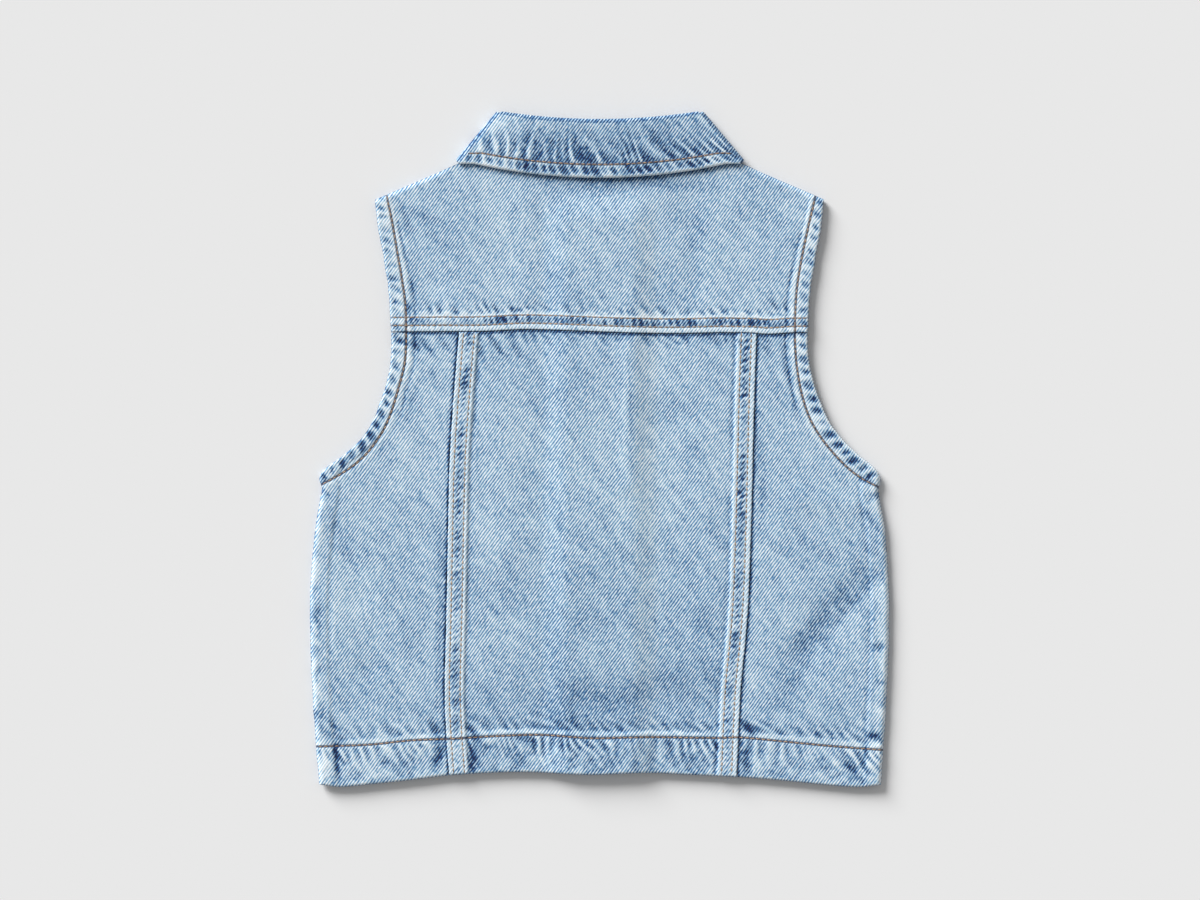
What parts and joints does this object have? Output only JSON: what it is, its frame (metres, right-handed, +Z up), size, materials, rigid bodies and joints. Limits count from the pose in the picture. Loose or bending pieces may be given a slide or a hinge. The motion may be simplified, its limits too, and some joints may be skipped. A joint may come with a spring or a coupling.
{
  "type": "child's denim vest laid flat",
  "caption": "Sleeveless denim jacket lying flat on its front: back yoke, centre and side back panels, folded collar, plain fronts and metal buttons.",
  "frame": {"origin": "on the surface that the vest lies on, at the middle of its outline", "axes": "+X to the right as the back is seen, +Y from the hem to the collar, +Z up from the surface"},
  "size_m": [0.3477, 0.4053, 0.0086],
  "materials": {
    "denim": "light-washed blue cotton twill, matte, seams paler on their ridges and darker in their dips",
    "collar_denim": "the same washed twill, darker and strongly roped along its stitched edge",
    "button_metal": "plain dulled brass shank buttons"
  },
  "bodies": {
    "root": {"back_yoke": "denim", "back_centre_panel": "denim", "back_side_panel_left": "denim", "back_side_panel_right": "denim", "front_left": "denim", "front_right": "denim", "collar": "collar_denim", "button_1": "button_metal", "button_2": "button_metal", "button_3": "button_metal", "button_4": "button_metal", "button_5": "button_metal"}
  },
  "joints": []
}
